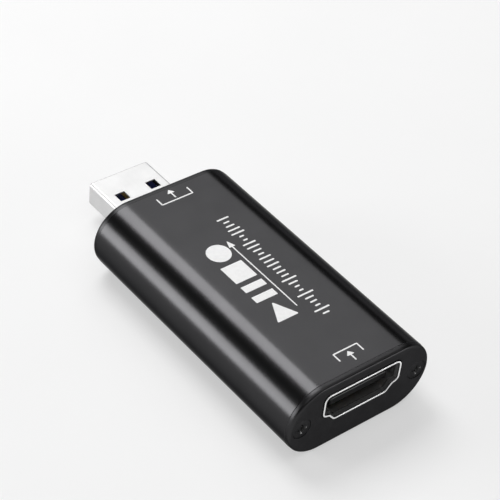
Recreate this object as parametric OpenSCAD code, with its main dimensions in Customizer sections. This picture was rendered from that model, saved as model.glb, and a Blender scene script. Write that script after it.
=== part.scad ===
// Video capture box: a round-sided extruded sleeve closed by two screwed end plates, with a
// flat serial plug at the output end, a video socket at the input end and one board between.
// Sizes are in millimetres. X runs along the box from the plug to the socket, and Z is up.
// The origin is under the middle of the whole length, on the surface that the box rests on.

/* [Housing] */
// Outside width of the sleeve
body_w = 28; // [27:0.5:32]
// Outside height of the sleeve, twice the radius of its round sides
body_h = 13; // [12.6:0.2:15]
// Length of the sleeve between the end plates
sleeve_l = 49; // [47:0.2:60]
// Wall thickness of the sleeve
wall = 1.2; // [0.9:0.1:1.3]
// Depth of the small chamfer round both cut ends of the sleeve
sleeve_edge = 0.1; // [0.1:0.05:0.4]
// Thickness of the end plates
plate_t = 1; // [1:0.1:1.5]
// Bevel round the outer edge of the end plates
plate_bevel = 0.5; // [0.1:0.05:0.6]
// How far the outline of an end plate stays inside that of the sleeve
plate_reveal = 0.05; // [0.05:0.05:0.2]
// How far the locating lips of an end plate reach into the sleeve
lip_l = 0.8; // [0.5:0.1:1.2]
// Width of the locating lips
lip_w = 13; // [8:0.5:14]
// Thickness of the locating lips
lip_t = 0.7; // [0.5:0.1:0.8]

/* [Screws] */
// Distance of a screw's axis from the round side of the sleeve
screw_inset = 2.5; // [2.4:0.1:2.7]
// Shank diameter of the screws
screw_d = 1.9; // [1.8:0.1:2]
// Head diameter of the countersunk screws
screw_head_d = 3.4; // [3:0.1:3.5]
// Length of the screws, head included
screw_l = 6; // [4:0.5:8]
// Outside diameter of the screw channels of the sleeve
channel_d = 3.6; // [3.4:0.1:4]
// Width of the slit that opens a screw channel to the inside
channel_slit = 0.7; // [0.4:0.1:1]

/* [Board] */
// How far the connectors lie above the middle of the sleeve's free height
stack_lift = 0.1; // [-0.2:0.05:0.3]
// Thickness of the board
board_t = 1.2; // [1:0.1:1.4]
// Depth of the slots that hold the long edges of the board
slot_depth = 1; // [0.6:0.1:1.2]
// Thickness of the ribs over and under a slot
rib_t = 0.8; // [0.6:0.1:1]

/* [Output plug] */
// Width of the plug's metal shell
plug_w = 12; // [11.9:0.05:12.1]
// Height of the plug's metal shell
plug_h = 4.5; // [4.4:0.05:4.6]
// Length of the plug's metal shell
plug_l = 18.7; // [18:0.1:20]
// How far the plug stands out of the output plate
plug_out = 12.8; // [11.8:0.1:13.2]
// Sheet thickness of the plug's shell
plug_sheet = 0.3; // [0.25:0.05:0.35]
// Side of the square latch windows of the plug
window = 2; // [1.8:0.1:2.4]
// Distance from the plug's tip to the middle of the latch windows
window_x = 5.8; // [5.2:0.1:6.4]
// Distance between the two latch windows of a face
window_pitch = 6.3; // [5.6:0.1:6.6]
// Thickness of the plug's inner tongue
plug_tongue_t = 1.9; // [1.7:0.1:2]

/* [Input socket] */
// Inside width of the socket
socket_w = 14; // [13.9:0.05:14.2]
// Inside height of the socket
socket_h = 4.55; // [4.5:0.05:4.7]
// Inside width of the socket's narrow base
socket_base_w = 9.9; // [9.6:0.1:10.4]
// Height of the socket's straight side walls
socket_side_h = 3.05; // [2.9:0.05:3.2]
// Sheet thickness of the socket's shell
socket_sheet = 0.3; // [0.25:0.05:0.4]
// How far the mouth of the socket steps out all round
socket_flare = 0.35; // [0.2:0.05:0.4]
// How far the rim stands proud of the input plate
rim_proud = 0.15; // [0.05:0.05:0.4]
// Length of the socket's shell
socket_l = 11.5; // [11:0.1:13]
// Thickness of the socket's inner tongue
socket_tongue_t = 1.5; // [1.3:0.1:1.6]
// Width of the socket's inner tongue
socket_tongue_w = 11.4; // [11:0.1:11.8]

/* [Hidden] */
$fn = 96;
eps = 0.01;
beyond = 1;            // how far a cutting shape runs past what it cuts

// Clearances
board_gap = 0.1;      // between the board and its slots or the plates' lips
panel_gap = 0.15;     // between a connector and the opening that it passes
lip_gap = 0.1;        // between a plate's lips and the sleeve
shank_gap = 0.03;     // between a screw's shank and its channel
head_gap = 0.05;      // between a screw's head and its countersink
leg_gap = 0.1;        // between a soldered leg and its slot in the board
fill_gap = 0.05;      // between an insulator and its shell

// Stations along X, from the plug's tip to the socket's rim
total_l = plug_out + 2 * plate_t + sleeve_l + rim_proud;
x_tip = -total_l / 2;
x_out = x_tip + plug_out;
x_sleeve0 = x_out + plate_t;
x_sleeve1 = x_sleeve0 + sleeve_l;
x_in = x_sleeve1 + plate_t;
x_rim = x_in + rim_proud;
x_board0 = x_sleeve0 + lip_l + board_gap;
x_board1 = x_sleeve1 - lip_l - board_gap;
x_plug_rear = x_tip + plug_l;
x_socket_rear = x_rim - socket_l;

// Heights
mid_z = body_h / 2;
socket_standoff = 0.1;                             // gap between the socket's shell and the board
stack_h = (plug_h + board_t) / 2 + socket_standoff + socket_h + 2 * socket_sheet;
board_z = mid_z - stack_h / 2 + (plug_h - board_t) / 2 + stack_lift;
board_top = board_z + board_t;
plug_z = board_z + board_t / 2;
socket_z = board_top + socket_standoff + socket_sheet + socket_h / 2;

// Places across the sleeve
screw_y = body_w / 2 - screw_inset;
shank_r = screw_d / 2;
channel_r = shank_r + shank_gap;
rail_mouth = 0.5;                                  // how far a rail reaches in past its screw channel
rail_y = screw_y - channel_d / 2 - rail_mouth;
board_w = 2 * (rail_y + slot_depth - board_gap);

// Outlines
function unit(v) = v / norm(v);

// Points of the arc that rounds corner b between a and c, in a loop that turns left.
// grow moves the whole outline out by that much.
function corner_arc(a, b, c, r, grow, steps = 6) =
    let(u = unit(a - b), v = unit(c - b),
        half = acos(u * v) / 2,
        turn = cross(b - a, c - b) > 0 ? 1 : -1,
        centre = b + unit(u + v) * r / sin(half),
        start = b + u * r / tan(half) - centre,
        from = atan2(start[1], start[0]),
        sweep = turn * (180 - 2 * half),
        reach = r + turn * grow)
    [for (i = [0 : steps]) centre + reach * [cos(from + sweep * i / steps), sin(from + sweep * i / steps)]];

function rounded(points, radii, grow = 0) =
    let(n = len(points))
    [for (i = [0 : n - 1]) each corner_arc(points[(i + n - 1) % n], points[i], points[(i + 1) % n],
                                           radii[i], grow)];

// A flat strip bent along a path in X and Z, as a closed outline of the given thickness
function path_side(path, i, offset) =
    let(n = len(path),
        before = unit(path[max(i, 1)] - path[max(i, 1) - 1]),
        after = unit(path[min(i + 1, n - 1)] - path[min(i + 1, n - 1) - 1]),
        mean = unit(before + after))
    path[i] + offset / (mean * before) * [-mean[1], mean[0]];

function strip(path, t) =
    let(n = len(path))
    concat([for (i = [0 : n - 1]) path_side(path, i, -t / 2)],
           [for (i = [n - 1 : -1 : 0]) path_side(path, i, t / 2)]);

// Opening of the video socket: wide on top, drawn in at both lower corners by a shallow step
socket_step = [1.1, 0.35];                         // first part of the step, inwards and down
socket_step_r = 1.2;                               // corner radii: in the step, at its top, at the
socket_waist_r = 0.3;                              // base and at the two upper corners
socket_base_r = 0.4;
socket_top_r = 0.55;
function socket_outline(grow) =
    let(w = socket_w / 2, top = socket_h / 2, side = top - socket_side_h, base = socket_base_w / 2)
    rounded([[-base, -top], [base, -top], [w - socket_step[0], side - socket_step[1]], [w, side],
             [w, top], [-w, top], [-w, side], [-w + socket_step[0], side - socket_step[1]]],
            [socket_base_r, socket_base_r, socket_step_r, socket_waist_r,
             socket_top_r, socket_top_r, socket_waist_r, socket_step_r], grow);

plug_corner = 0.6;                                 // outside corner radius of the plug's shell
function plug_outline(grow) =
    let(w = plug_w / 2, h = plug_h / 2)
    rounded([[-w, -h], [w, -h], [w, h], [-w, h]], [for (i = [1 : 4]) plug_corner], grow);

module stadium(w, h) {
    square([w - h, h], center = true);
    for (side = [-1, 1]) translate([side * (w - h) / 2, 0]) circle(d = h);
}

// Carries a flat outline in Y and Z along X, from x0 to x1, with its middle at height z
module along_x(x0, x1, z = mid_z) {
    translate([x0, 0, z]) rotate([90, 0, 90]) linear_extrude(x1 - x0) children();
}

// Carries a flat outline in X and Z across Y, w wide and centred on y
module across_y(y, w) {
    translate([0, y + w / 2, 0]) rotate([90, 0, 0]) linear_extrude(w) children();
}

module box(x0, x1, y0, y1, z0, z1) {
    translate([x0, y0, z0]) cube([x1 - x0, y1 - y0, z1 - z0]);
}

// A slab with round sides whose outline draws in by the bevel at its far face
module bevelled_slab(w, h, t, bevel) {
    profile = [[0, -h / 2], [t - bevel, -h / 2], [t, -h / 2 + bevel], [t, h / 2 - bevel],
               [t - bevel, h / 2], [0, h / 2]];
    across_y(0, w - h) polygon(profile);
    for (side = [-1, 1]) translate([0, side * (w - h) / 2, 0]) rotate([0, 90, 0]) {
        cylinder(d = h, h = t - bevel);
        translate([0, 0, t - bevel]) cylinder(d1 = h, d2 = h - 2 * bevel, h = bevel);
    }
}

// Housing

module sleeve_section() {
    difference() {
        union() {
            difference() {
                stadium(body_w, body_h);
                stadium(body_w - 2 * wall, body_h - 2 * wall);
            }
            intersection() {
                stadium(body_w - wall, body_h - wall);
                for (far = [0, 1]) mirror([far, 0]) {
                    translate([screw_y, 0]) circle(d = channel_d);
                    translate([rail_y, board_z - board_gap - rib_t - mid_z])
                        square([body_w / 2 - rail_y, board_t + 2 * board_gap + 2 * rib_t]);
                }
            }
        }
        for (side = [-1, 1]) {
            translate([side * screw_y, 0]) circle(r = channel_r);
            translate([side * (screw_y - channel_d / 2), 0])
                square([channel_d, channel_slit], center = true);
            translate([side * rail_y, plug_z - mid_z])
                square([2 * slot_depth, board_t + 2 * board_gap], center = true);
        }
    }
}

module housing_sleeve() color([0.13, 0.13, 0.14]) difference() {
    along_x(x_sleeve0, x_sleeve1) sleeve_section();
    for (end = [0, 1]) translate([end == 0 ? x_sleeve0 : x_sleeve1, 0, mid_z]) mirror([end, 0, 0])
        end_chamfer();
}

// What the chamfer takes off the outer edge of a cut end that lies at X 0
module end_chamfer() difference() {
    translate([-eps, 0, 0]) rotate([90, 0, 90]) linear_extrude(sleeve_edge + eps)
        stadium(body_w + beyond, body_h + beyond);
    translate([sleeve_edge, 0, 0]) mirror([1, 0, 0])
        bevelled_slab(body_w, body_h, sleeve_edge + 2 * eps, sleeve_edge + eps);
}

// An end plate whose inner face lies at X 0 and whose outer face looks along +X
module plate_blank() {
    difference() {
        translate([0, 0, mid_z])
            bevelled_slab(body_w - 2 * plate_reveal, body_h - 2 * plate_reveal, plate_t, plate_bevel);
        for (side = [-1, 1]) translate([plate_t, side * screw_y, mid_z]) rotate([0, -90, 0])
            countersink();
    }
    for (z = [wall + lip_gap, body_h - wall - lip_gap - lip_t])
        box(-lip_l, eps, -lip_w / 2, lip_w / 2, z, z + lip_t);
}

// The hole for a screw, from an outer face at Z 0 up through the plate, wider than the screw all over
module countersink() {
    mouth = head_land + head_gap;
    translate([0, 0, -eps]) cylinder(r = head_r + head_gap, h = mouth + eps);
    translate([0, 0, mouth]) cylinder(r1 = head_r + head_gap, r2 = shank_r + head_gap, h = head_r - shank_r);
    cylinder(r = shank_r + head_gap, h = plate_t + eps);
}

module input_end_plate() color([0.1, 0.1, 0.11]) difference() {
    translate([x_sleeve1, 0, 0]) plate_blank();
    along_x(x_sleeve1 - lip_l - eps, x_in + eps, socket_z)
        polygon(socket_outline(socket_sheet + socket_flare + panel_gap));
}

module output_end_plate() color([0.1, 0.1, 0.11]) difference() {
    translate([x_sleeve0, 0, 0]) mirror([1, 0, 0]) plate_blank();
    along_x(x_out - eps, x_sleeve0 + lip_l + eps, plug_z) polygon(plug_outline(panel_gap));
}

// Screws

head_r = screw_head_d / 2;
head_land = 0.1;                                   // straight edge of a screw head
head_depth = head_r - shank_r + head_land;
tip_l = 1;                                         // length of a screw's pointed end
recess_w = 0.45;                                   // arm width of the cross recess
recess_l = 1.9;                                    // length of the cross recess
recess_depth = 0.5;

// A countersunk screw whose head lies at X 0 and whose point looks along -X
module screw() rotate([0, -90, 0]) difference() {
    union() {
        cylinder(r = head_r, h = head_land);
        translate([0, 0, head_land])
            cylinder(r1 = head_r, r2 = shank_r, h = head_depth - head_land);
        cylinder(r = shank_r, h = screw_l - tip_l);
        translate([0, 0, screw_l - tip_l]) cylinder(r1 = shank_r, r2 = shank_r / 3, h = tip_l);
    }
    for (turn = [0, 90]) rotate([0, 0, turn])
        translate([-recess_l / 2, -recess_w / 2, -eps]) cube([recess_l, recess_w, recess_depth + eps]);
}

module input_plate_screws() color([0.16, 0.16, 0.17])
    for (side = [-1, 1]) translate([x_in - head_gap, side * screw_y, mid_z]) screw();

module output_plate_screws() color([0.16, 0.16, 0.17])
    for (side = [-1, 1]) translate([x_out + head_gap, side * screw_y, mid_z]) mirror([1, 0, 0]) screw();

// Board

leg_l = 1.4;                                       // length of a soldered leg along X
leg_through = 0.5;                                 // how far a leg stands out under the board
socket_leg_y = socket_w / 2 + socket_sheet / 2;
socket_leg_from_rim = [4.2, 9.6];                  // distances of the socket's legs from its rim
socket_legs = [for (d = socket_leg_from_rim) x_rim - d];
plug_tab_w = 2.2;                                  // reach of the plug's side tabs over the board
plug_leg_in = 1.8;                                 // distance of the plug's legs from the board's end
plug_leg_x = x_board0 + plug_leg_in;
plug_leg_y = plug_w / 2 + plug_tab_w - plug_sheet / 2;
bend_room = 0.9;                                   // room behind the plug for the bends of its contacts
notch_end = x_plug_rear + bend_room;

module main_board() color([0.05, 0.3, 0.16]) difference() {
    box(x_board0, x_board1, -board_w / 2, board_w / 2, board_z, board_top);
    box(x_board0 - eps, notch_end, -plug_w / 2 - panel_gap, plug_w / 2 + panel_gap,
        board_z - eps, board_top + eps);
    for (side = [-1, 1]) {
        for (x = socket_legs) leg(x, side * socket_leg_y, socket_sheet, leg_gap);
        leg(plug_leg_x, side * plug_leg_y, plug_sheet, leg_gap);
    }
}

// A flat soldered leg through the board, t thick across Y; grow makes the slot that it passes
module leg(x, y, t, grow = 0)
    box(x - leg_l / 2 - grow, x + leg_l / 2 + grow, y - t / 2 - grow, y + t / 2 + grow,
        board_z - leg_through, board_top + eps);

// Input socket

rim_l = 0.8;                                       // length of the stepped mouth
spring_w = 1.6;                                    // width of a shell spring
spring_l = 4.2;                                    // length of a shell spring
spring_y = 3.2;                                    // distance of a shell spring from the middle
spring_tip = 2.4;                                  // distance of a spring's free end from the rim
spring_dip = 0.45;                                 // how far a spring bends into the socket
spring_slot = 0.3;                                 // gap round a spring

module socket_shell() color([0.82, 0.82, 0.84]) {
    difference() {
        union() {
            along_x(x_socket_rear, x_rim, socket_z) polygon(socket_outline(socket_sheet));
            along_x(x_rim - rim_l, x_rim, socket_z) polygon(socket_outline(socket_sheet + socket_flare));
        }
        along_x(x_socket_rear - eps, x_rim + eps, socket_z) polygon(socket_outline(0));
        along_x(x_rim - rim_l + socket_sheet, x_rim + eps, socket_z) polygon(socket_outline(socket_flare));
        for (face = [-1, 1], side = [-1, 1])
            translate([x_rim - spring_tip - spring_l, side * spring_y, socket_z + face * socket_h / 2])
                box(0, spring_l + spring_slot, -spring_w / 2 - spring_slot, spring_w / 2 + spring_slot,
                    -2 * socket_sheet, 2 * socket_sheet);
    }
    for (far = [0, 1], side = [-1, 1]) translate([0, 0, socket_z]) mirror([0, 0, far])
        across_y(side * spring_y, spring_w) polygon(spring_strip);
    for (side = [-1, 1], x = socket_legs) {
        leg(x, side * socket_leg_y, socket_sheet);
        box(x - leg_l / 2, x + leg_l / 2, side * socket_leg_y - socket_sheet / 2,
            side * socket_leg_y + socket_sheet / 2, board_top, socket_z);
    }
}

// Side view of a shell spring: it leaves the wall, dips into the socket and turns out at its tip
spring_root = x_rim - spring_tip - spring_l;
spring_top = (socket_h + socket_sheet) / 2;
spring_hold = 0.2;                                 // overlap of a spring's root with the wall
spring_flat = 0.4;                                 // straight start of a spring
spring_turn = 1;                                   // length of the turned-out tip
spring_strip = strip([[spring_root - spring_hold, spring_top], [spring_root + spring_flat, spring_top],
                      [x_rim - spring_tip - spring_turn, spring_top - spring_dip],
                      [x_rim - spring_tip, spring_top - spring_dip / 4]], socket_sheet);

contact_t = 0.15;                                  // sheet thickness of the contacts
socket_pitch = 1;                                  // distance between contacts of a row
socket_contact_w = 0.32;
tongue_recess = 1;                                 // distance of the tongue's front from the rim
contact_recess = 1.6;                              // distance of the contacts' front from the rim
socket_block_l = 3.2;                              // thickness of the insulator behind the tongue
tail_drop = 0.3;                                   // distance behind the shell where the contacts bend
foot_l = 0.9;                                      // length of a contact's soldered foot

// One contact of the socket, at height z on the tongue, bent down behind to a foot on the board
module socket_contact(y, z) across_y(y, socket_contact_w)
    polygon(strip([[x_rim - contact_recess, z], [x_socket_rear - tail_drop, z],
                   [x_socket_rear - tail_drop, board_top + contact_t / 2],
                   [x_socket_rear - tail_drop - foot_l, board_top + contact_t / 2]], contact_t));

module socket_upper_contacts() color([0.85, 0.68, 0.3])
    for (i = [0 : 9]) socket_contact((i - 4.5) * socket_pitch,
                                     socket_z + (socket_tongue_t + contact_t) / 2);

module socket_lower_contacts() color([0.85, 0.68, 0.3])
    for (i = [0 : 8]) socket_contact((i - 4) * socket_pitch,
                                     socket_z - (socket_tongue_t + contact_t) / 2);

module socket_insulator() color([0.06, 0.06, 0.06]) difference() {
    union() {
        along_x(x_socket_rear, x_socket_rear + socket_block_l, socket_z)
            polygon(socket_outline(-fill_gap));
        box(x_socket_rear, x_rim - tongue_recess, -socket_tongue_w / 2, socket_tongue_w / 2,
            socket_z - socket_tongue_t / 2, socket_z + socket_tongue_t / 2);
    }
    socket_upper_contacts();
    socket_lower_contacts();
}

// Output plug

seam_w = 0.1;                                      // width of the seam under the folded shell
tip_draw = 0.15;                                   // how far the plug's front edge draws in
plug_block_l = 9.2;                                // length of the insulator behind the plug's cavity
plug_tongue_recess = 0.7;                          // distance of the tongue's front from the tip
plug_floor = plug_z - plug_h / 2 + plug_sheet;
plug_tongue_w = plug_w - 2 * (plug_sheet + plug_corner / 2 + fill_gap);
plug_tongue_top = plug_floor + plug_tongue_t;
plug_contact_w = 0.7;
rear_pitch = 2;                                    // distance between the rear springs

module plug_shell() color([0.8, 0.8, 0.82]) {
    difference() {
        along_x(x_tip, x_plug_rear, plug_z) difference() {
            polygon(plug_outline(0));
            polygon(plug_outline(-plug_sheet));
        }
        box(x_tip - eps, x_plug_rear + eps, -seam_w / 2, seam_w / 2,
            plug_floor - plug_sheet - eps, plug_floor + eps);
        for (side = [-1, 1]) translate([x_tip + window_x, side * window_pitch / 2, plug_z])
            cube([window, window, plug_h + beyond], center = true);
        tip_taper();
    }
    for (side = [-1, 1]) {
        mirror([0, side > 0 ? 0 : 1, 0])
            box(plug_leg_x - leg_l / 2, plug_leg_x + leg_l / 2, (plug_w - plug_sheet) / 2,
                plug_leg_y + plug_sheet / 2, board_top, board_top + plug_sheet);
        leg(plug_leg_x, side * plug_leg_y, plug_sheet);
    }
}

// What draws the four front edges of the plug's shell in by a slope
module tip_taper() {
    slope = [[x_tip - eps, -eps], [x_tip + 2 * tip_draw, -eps], [x_tip - eps, tip_draw]];
    for (far = [0, 1]) {
        translate([0, 0, plug_z]) mirror([0, 0, far]) translate([0, 0, -plug_h / 2])
            across_y(0, plug_w + beyond) polygon(slope);
        mirror([0, far, 0]) translate([0, -plug_w / 2, plug_z - plug_h])
            linear_extrude(2 * plug_h) polygon(slope);
    }
}

// A contact of the plug, as a bent strip through the insulator to a foot on the board
module plug_contact(y, path) across_y(y, plug_contact_w) polygon(strip(path, contact_t));

front_level = plug_tongue_top + contact_t / 2;
under_board = board_z - contact_t / 2;
over_board = board_top + contact_t / 2;
front_sites = [[1, 2.6], [3.5, 1.6]];              // place across, and distance from the tip
plug_bend = 0.3;                                   // distance behind the shell at which front contacts bend
rear_spring_l = 2.6;                               // free length of the rear springs
rear_spring_slope = 0.9;                           // length of a rear spring's sloped tip
rear_spring_rise = 0.3;                            // height of a rear spring's tip over the tongue
rear_tip_x = x_plug_rear - plug_block_l - rear_spring_l;
plug_foot_l = 1.4;

module plug_front_contacts() color([0.85, 0.68, 0.3])
    for (side = [-1, 1], site = front_sites)
        plug_contact(side * site[0], [[x_tip + site[1], front_level], [x_plug_rear + plug_bend, front_level],
                                      [x_plug_rear + plug_bend, under_board],
                                      [notch_end + plug_foot_l, under_board]]);

module plug_rear_contacts() color([0.85, 0.68, 0.3])
    for (i = [-2 : 2])
        plug_contact(rear_pitch * i, [[rear_tip_x, plug_tongue_top + rear_spring_rise],
                             [rear_tip_x + rear_spring_slope, over_board],
                             [notch_end + plug_foot_l, over_board]]);

module plug_insulator() color([0.08, 0.1, 0.35]) difference() {
    union() {
        along_x(x_plug_rear - plug_block_l, x_plug_rear, plug_z)
            polygon(plug_outline(-plug_sheet - fill_gap));
        box(x_tip + plug_tongue_recess, x_plug_rear, -plug_tongue_w / 2, plug_tongue_w / 2,
            plug_floor + fill_gap, plug_tongue_top);
    }
    plug_front_contacts();
    plug_rear_contacts();
}

// Parts on the board, placed on its top from the middle of the field between the connectors

field_x = (x_plug_rear + x_socket_rear) / 2;
edge_gap = 0.3;                                    // between the parts and the sleeve's rails
edge_y = rail_y - edge_gap;

module on_field() translate([field_x, 0, board_top]) children();

// A block with its base on the board and its middle at a place of the field
module on_board(at, size) translate([at[0] - size[0] / 2, at[1] - size[1] / 2, 0]) cube(size);

chip_at = [2.4, 0];
chip_size = [9, 9, 0.85];
pin_mark_r = 0.4;                                  // round mark at the chip's first pin
pin_mark_in = 1;                                   // distance of the mark from the chip's edges
pin_mark_depth = 0.1;
pad_in = 0.5;                                      // how far the pad ends inside the chip's edges

module capture_chip() color([0.08, 0.08, 0.08]) on_field() difference() {
    on_board(chip_at, chip_size);
    translate([chip_at[0] - chip_size[0] / 2 + pin_mark_in, chip_at[1] + chip_size[1] / 2 - pin_mark_in,
               chip_size[2] - pin_mark_depth]) cylinder(r = pin_mark_r, h = 2 * pin_mark_depth);
}

module thermal_pad() color([0.55, 0.62, 0.72]) on_field() translate([0, 0, chip_size[2]])
    on_board(chip_at, [chip_size[0] - 2 * pad_in, chip_size[1] - 2 * pad_in,
                       body_h - wall - board_top - chip_size[2]]);

lead_t = 0.2;                                      // sheet thickness of the leads
lead_rise = 0.1;                                   // gap under a leaded body
lead_out = 0.5;                                    // reach of a lead to its foot
lead_foot = 0.8;                                   // length of a lead's foot
lead_reach = lead_out + lead_foot;

memory_size = [4.9, 3.9, 1.5];
memory_x = -8.6;
memory_at = [memory_x, edge_y - lead_reach - memory_size[1] / 2];
memory_lead_pitch = 1.27;
memory_lead_w = 0.42;
regulator_size = [2.9, 1.6, 1.1];
regulator_y = -edge_y + lead_reach + regulator_size[1] / 2;
regulator_x = [-10.1, 10.9];
regulator_at = [for (x = regulator_x) [x, regulator_y]];
regulator_lead_pitch = 0.95;
regulator_lead_w = 0.4;

module leaded_body(at, size) translate([0, 0, lead_rise])
    on_board(at, [size[0], size[1], size[2] - lead_rise]);

module memory_chip() color([0.1, 0.1, 0.1]) on_field() leaded_body(memory_at, memory_size);

module regulator_chips() color([0.1, 0.1, 0.1]) on_field()
    for (at = regulator_at) leaded_body(at, regulator_size);

// Bent leads along both long sides of a leaded body
module leads(at, size, pitch, count, w) {
    side_view = strip([[0, size[2] / 2], [lead_out - lead_t, size[2] / 2], [lead_out, lead_t / 2],
                       [lead_reach, lead_t / 2]], lead_t);
    for (side = [-1, 1], i = [0 : count - 1])
        translate([at[0] + (i - (count - 1) / 2) * pitch, at[1] + side * size[1] / 2, 0])
            rotate([0, 0, side * 90]) across_y(0, w) polygon(side_view);
}

module chip_leads() color([0.75, 0.75, 0.77]) on_field() {
    leads(memory_at, memory_size, memory_lead_pitch, 4, memory_lead_w);
    for (at = regulator_at) leads(at, regulator_size, regulator_lead_pitch, 3, regulator_lead_w);
}

crystal_at = [-4.8, -2];
crystal_size = [2.5, 3.2, 0.8];
crystal_lid_in = 0.15;                             // how far the lid steps in from the can's base

module timing_crystal() color([0.78, 0.76, 0.7]) on_field() {
    on_board(crystal_at, [crystal_size[0], crystal_size[1], crystal_size[2] / 2]);
    on_board(crystal_at, [crystal_size[0] - 2 * crystal_lid_in, crystal_size[1] - 2 * crystal_lid_in,
                          crystal_size[2]]);
}

inductor_at = [[-10.4, -1.5], [10.9, -2]];
inductor_side = 3;
inductor_h = 1.6;
inductor_base = 0.3;                               // thickness of an inductor's foot plate
inductor_can = 2.8;                                // diameter of an inductor's round core

module power_inductors() color([0.28, 0.28, 0.29]) on_field()
    for (at = inductor_at) {
        on_board(at, [inductor_side, inductor_side, inductor_base]);
        translate([at[0], at[1], 0]) cylinder(d = inductor_can, h = inductor_h);
    }

// A small two-ended part: a body between two slightly larger soldered ends
part_l = 1.6;
part_w = 0.8;
part_end = 0.3;
part_waist = 0.04;
part_pitch = 1.6;                                  // distance between neighbours of a row
row_gap = 0.4;                                     // between the chip and the rows beside it

module small_part(site, h) translate([site[0], site[1], 0]) rotate([0, 0, site[2]]) {
    on_board([0, 0], [part_l, part_w - 2 * part_waist, h - part_waist]);
    for (end = [-1, 1]) on_board([end * (part_l - part_end) / 2, 0], [part_end, part_w, h]);
}

// A row of sites of a given count that starts at a place and steps along X or along Y
function row_x(x, y, count) = [for (i = [0 : count - 1]) [x + part_pitch * i, y, 90]];
function row_y(x, y, count) = [for (i = [0 : count - 1]) [x, y + part_pitch * i, 0]];

chip_row_x = -0.8;                                 // first part of the rows beside the chip
chip_row_y = chip_size[1] / 2 + row_gap + part_l / 2;
edge_column_x = -7.2;                              // column that starts at the right-hand rail
edge_column_y = -edge_y + part_w / 2;
column_y = 1.4;                                    // first part of the columns on the left-hand side
capacitor_column_x = 10.4;
resistor_column_x = [-12.6, -4.6, 13.1];

capacitor_h = 0.8;
capacitor_sites = concat(row_x(chip_row_x, chip_row_y, 5), row_x(chip_row_x, -chip_row_y, 5),
                         row_y(capacitor_column_x, column_y, 3), row_y(edge_column_x, edge_column_y, 3));
resistor_h = 0.45;
resistor_sites = [for (x = resistor_column_x) each row_y(x, column_y, 3)];

module ceramic_capacitors() color([0.68, 0.55, 0.4]) on_field()
    for (site = capacitor_sites) small_part(site, capacitor_h);

module chip_resistors() color([0.12, 0.12, 0.13]) on_field()
    for (site = resistor_sites) small_part(site, resistor_h);

surge_size = [1, 2.5, 0.55];
surge_gap = 0.4;                                   // between the arrays and the feet of the socket's contacts
surge_x = x_socket_rear - tail_drop - foot_l - surge_gap - surge_size[0] / 2 - field_x;
surge_pitch = 3.6;

module surge_arrays() color([0.09, 0.09, 0.09]) on_field()
    for (i = [-1 : 1]) on_board([surge_x, i * surge_pitch], surge_size);

film_t = 0.15;
film_side = 1;                                     // how far the film ends inside the flat floor

module insulating_film() color([0.75, 0.55, 0.15])
    box(x_board0, x_board1, -(body_w - body_h) / 2 + film_side, (body_w - body_h) / 2 - film_side,
        wall, wall + film_t);

housing_sleeve();
input_end_plate();
output_end_plate();
input_plate_screws();
output_plate_screws();
main_board();
socket_shell();
socket_insulator();
socket_upper_contacts();
socket_lower_contacts();
plug_shell();
plug_insulator();
plug_front_contacts();
plug_rear_contacts();
capture_chip();
thermal_pad();
memory_chip();
regulator_chips();
chip_leads();
timing_crystal();
power_inductors();
ceramic_capacitors();
chip_resistors();
surge_arrays();
insulating_film();
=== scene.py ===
import math

import bmesh
import bpy
from mathutils import Matrix, Vector


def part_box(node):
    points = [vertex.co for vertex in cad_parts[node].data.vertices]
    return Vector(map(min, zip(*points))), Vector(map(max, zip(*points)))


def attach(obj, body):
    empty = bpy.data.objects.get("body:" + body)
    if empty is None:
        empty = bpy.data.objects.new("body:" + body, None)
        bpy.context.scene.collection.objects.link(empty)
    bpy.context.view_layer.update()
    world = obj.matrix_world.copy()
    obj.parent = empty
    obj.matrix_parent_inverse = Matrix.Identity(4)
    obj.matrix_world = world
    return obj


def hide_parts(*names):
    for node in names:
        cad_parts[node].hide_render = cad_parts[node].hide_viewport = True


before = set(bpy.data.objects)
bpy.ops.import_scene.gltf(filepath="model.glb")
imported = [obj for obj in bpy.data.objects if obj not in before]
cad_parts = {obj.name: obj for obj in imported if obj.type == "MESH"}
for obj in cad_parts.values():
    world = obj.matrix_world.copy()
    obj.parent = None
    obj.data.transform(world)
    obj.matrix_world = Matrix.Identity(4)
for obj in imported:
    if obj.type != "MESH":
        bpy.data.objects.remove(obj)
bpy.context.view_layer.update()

# The CAD box, read in millimetres
MM = 0.001


def span(node):
    """Lowest and highest corner of a CAD node in millimetres."""
    low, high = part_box(node)
    return low / MM, high / MM


def middle_z(node):
    """Height of the middle of a CAD node in millimetres."""
    low, high = span(node)
    return (low.z + high.z) / 2


# Places and main sizes from the frame in millimetres, with X towards the video socket and Z up
X_SLEEVE0 = span("housing_sleeve")[0].x
X_SLEEVE1 = span("housing_sleeve")[1].x
X_OUT = span("output_end_plate")[0].x
X_IN = span("input_end_plate")[1].x
X_RIM = span("socket_shell")[1].x
X_SOCKET_REAR = span("socket_shell")[0].x
X_TIP = span("plug_shell")[0].x
X_PLUG_REAR = span("plug_shell")[1].x
SOCKET_Z = middle_z("socket_insulator")
PLUG_Z = middle_z("plug_insulator")
BOARD_Z = span("main_board")[0].z
BOARD_TOP = span("main_board")[1].z
BODY_W = 2 * span("housing_sleeve")[1].y
BODY_H = span("housing_sleeve")[1].z
MID_Z = BODY_H / 2
PLATE_T = X_IN - X_SLEEVE1

# Sleeve sizes, repeated from the solids like the sizes of the other pieces below
WALL = 1.2
SLEEVE_EDGE = 0.1
RAIL_Y = 9.2
RIB_T = 0.8
SLOT_DEPTH = 1.0
BOARD_GAP = 0.1
CHANNEL_R = 1.8
CHANNEL_SLIT = 0.7
BORE_R = 0.98

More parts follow.
